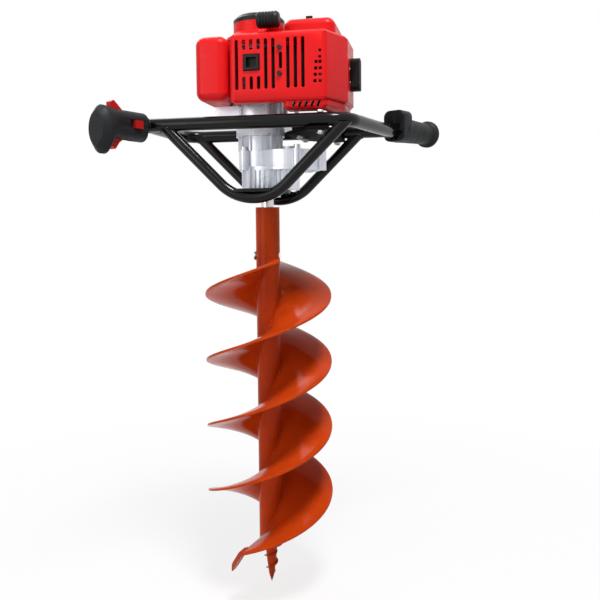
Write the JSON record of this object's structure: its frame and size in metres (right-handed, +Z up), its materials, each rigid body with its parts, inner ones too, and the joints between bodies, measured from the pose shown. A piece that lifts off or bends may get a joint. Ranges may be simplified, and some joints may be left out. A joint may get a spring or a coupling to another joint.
{
  "type": "petrol earth auger",
  "caption": "One-operator petrol earth auger: small engine over a reduction gearbox, tube handle frame with throttle handle, and a double-start drilling bit.",
  "frame": {"origin": "the point of the pilot screw, on the bit's axis", "axes": "+Z up along the bit's axis, +X towards the machine's right-hand grip, +Y towards its back"},
  "size_m": [0.4776, 0.4026, 0.901],
  "materials": {
    "bit_paint": "satin orange-red paint",
    "cutter_steel": "worn dark paint over hardened steel",
    "bright_steel": "zinc bright",
    "gear_steel": "machined grey",
    "cast_alloy": "as cast, bead blasted",
    "frame_paint": "gloss black powder coat",
    "cover_red": "gloss moulded",
    "black_plastic": "fine moulded grain",
    "handle_grey": "moulded grain",
    "control_red": "moulded",
    "black_rubber": "matte",
    "plug_white": "glazed",
    "pulley_nylon": "moulded",
    "filter_foam": "open foam"
  },
  "bodies": {
    "machine": {"bearings": "bright_steel", "gearbox_bolts": "bright_steel", "frame_bolts": "bright_steel", "muffler": "gear_steel", "case_screws": "gear_steel", "gearbox_lower": "cast_alloy", "gearbox_upper": "cast_alloy", "clutch_housing": "cast_alloy", "crankcase": "cast_alloy", "cylinder": "cast_alloy", "carburettor": "cast_alloy", "front_frame_tube": "frame_paint", "rear_frame_tube": "frame_paint", "front_hoop": "frame_paint", "rear_hoop": "frame_paint", "right_handle_tube": "frame_paint", "left_handle_tube": "frame_paint", "cradle_plate": "frame_paint", "mount_plate": "frame_paint", "engine_cover": "cover_red", "lower_cover": "cover_red", "cylinder_shroud": "cover_red", "fuel_tank": "cover_red", "starter_housing": "cover_red", "exhaust_outlet": "black_plastic", "ignition_coil": "black_plastic", "filter_case": "black_plastic", "filter_cover": "black_plastic", "starter_cap": "black_plastic", "right_grip": "handle_grey", "throttle_shell_inner": "handle_grey", "throttle_shell_outer": "handle_grey", "output_seal": "black_rubber", "mount_dampers": "black_rubber", "plug_cap": "black_rubber", "spark_plug": "plug_white", "filter_element": "filter_foam"},
    "bit": {"pilot_screw": "bit_paint", "bit_tube": "bit_paint", "bit_hub": "gear_steel", "bit_pin": "bright_steel", "flight_a": "bit_paint", "flight_b": "bit_paint", "cutters": "cutter_steel", "output_shaft": "bright_steel", "output_gear": "gear_steel"},
    "idler": {"idler_shaft": "gear_steel", "idler_gear": "gear_steel"},
    "clutch_output": {"input_pinion": "gear_steel", "clutch_drum": "gear_steel"},
    "crank": {"crankshaft": "bright_steel", "flywheel": "gear_steel", "clutch_shoes": "gear_steel"},
    "starter_pulley": {"starter_pulley": "pulley_nylon"},
    "pull_handle": {"pull_handle": "black_plastic"},
    "throttle_trigger": {"throttle_trigger": "control_red"},
    "lock_lever": {"lock_lever": "control_red"},
    "stop_switch": {"stop_switch": "control_red"},
    "fuel_cap": {"fuel_cap": "black_plastic"},
    "choke_lever": {"choke_lever": "black_plastic"}
  },
  "joints": [
    {"name": "bit_spin", "type": "hinge", "parent": "machine", "child": "bit", "pos_m": [0, 0, 0.65], "axis": [0, 0, 1], "continuous": true},
    {"name": "idler_spin", "type": "hinge", "parent": "machine", "child": "idler", "pos_m": [0.0375, 0, 0.66], "axis": [0, 0, 1], "continuous": true},
    {"name": "clutch_output_spin", "type": "hinge", "parent": "machine", "child": "clutch_output", "pos_m": [-0.01, 0, 0.7], "axis": [0, 0, 1], "continuous": true},
    {"name": "crank_spin", "type": "hinge", "parent": "machine", "child": "crank", "pos_m": [-0.01, 0, 0.8], "axis": [0, 0, 1], "continuous": true},
    {"name": "pull_slide", "type": "slide", "parent": "machine", "child": "pull_handle", "axis": [0, -1, 0], "range_m": [0, 0.45], "stiffness_N_per_m": 20},
    {"name": "starter_spin", "type": "hinge", "parent": "machine", "child": "starter_pulley", "pos_m": [-0.01, 0, 0.88], "axis": [0, 0, -1], "range_deg": [0, 860]},
    {"name": "trigger_pull", "type": "hinge", "parent": "machine", "child": "throttle_trigger", "pos_m": [-0.17731, -0.13283, 0.71245], "axis": [-0.9397, 0.342, 0], "range_deg": [0, 14], "stiffness_Nm_per_rad": 0.06, "springref_deg": -17.19},
    {"name": "lock_press", "type": "hinge", "parent": "machine", "child": "lock_lever", "pos_m": [-0.18005, -0.14035, 0.74205], "axis": [0.9397, -0.342, 0], "range_deg": [0, 8], "stiffness_Nm_per_rad": 0.05, "springref_deg": -17.19},
    {"name": "stop_slide", "type": "slide", "parent": "machine", "child": "stop_switch", "axis": [-0.342, -0.9397, 0], "range_m": [0, 0.005]},
    {"name": "cap_turn", "type": "hinge", "parent": "machine", "child": "fuel_cap", "pos_m": [-0.067, 0.049, 0.87], "axis": [0, 0, 1], "range_deg": [0, 360]},
    {"name": "choke_swing", "type": "hinge", "parent": "machine", "child": "choke_lever", "pos_m": [0.07, 0.015, 0.892], "axis": [0, 0, 1], "range_deg": [0, 70]}
  ],
  "couplings": [
    {"joint": "idler_spin", "follows": "bit_spin", "ratio": -4},
    {"joint": "clutch_output_spin", "follows": "bit_spin", "ratio": 23.636},
    {"joint": "starter_spin", "follows": "pull_slide", "rad_per_m": 33.333}
  ]
}
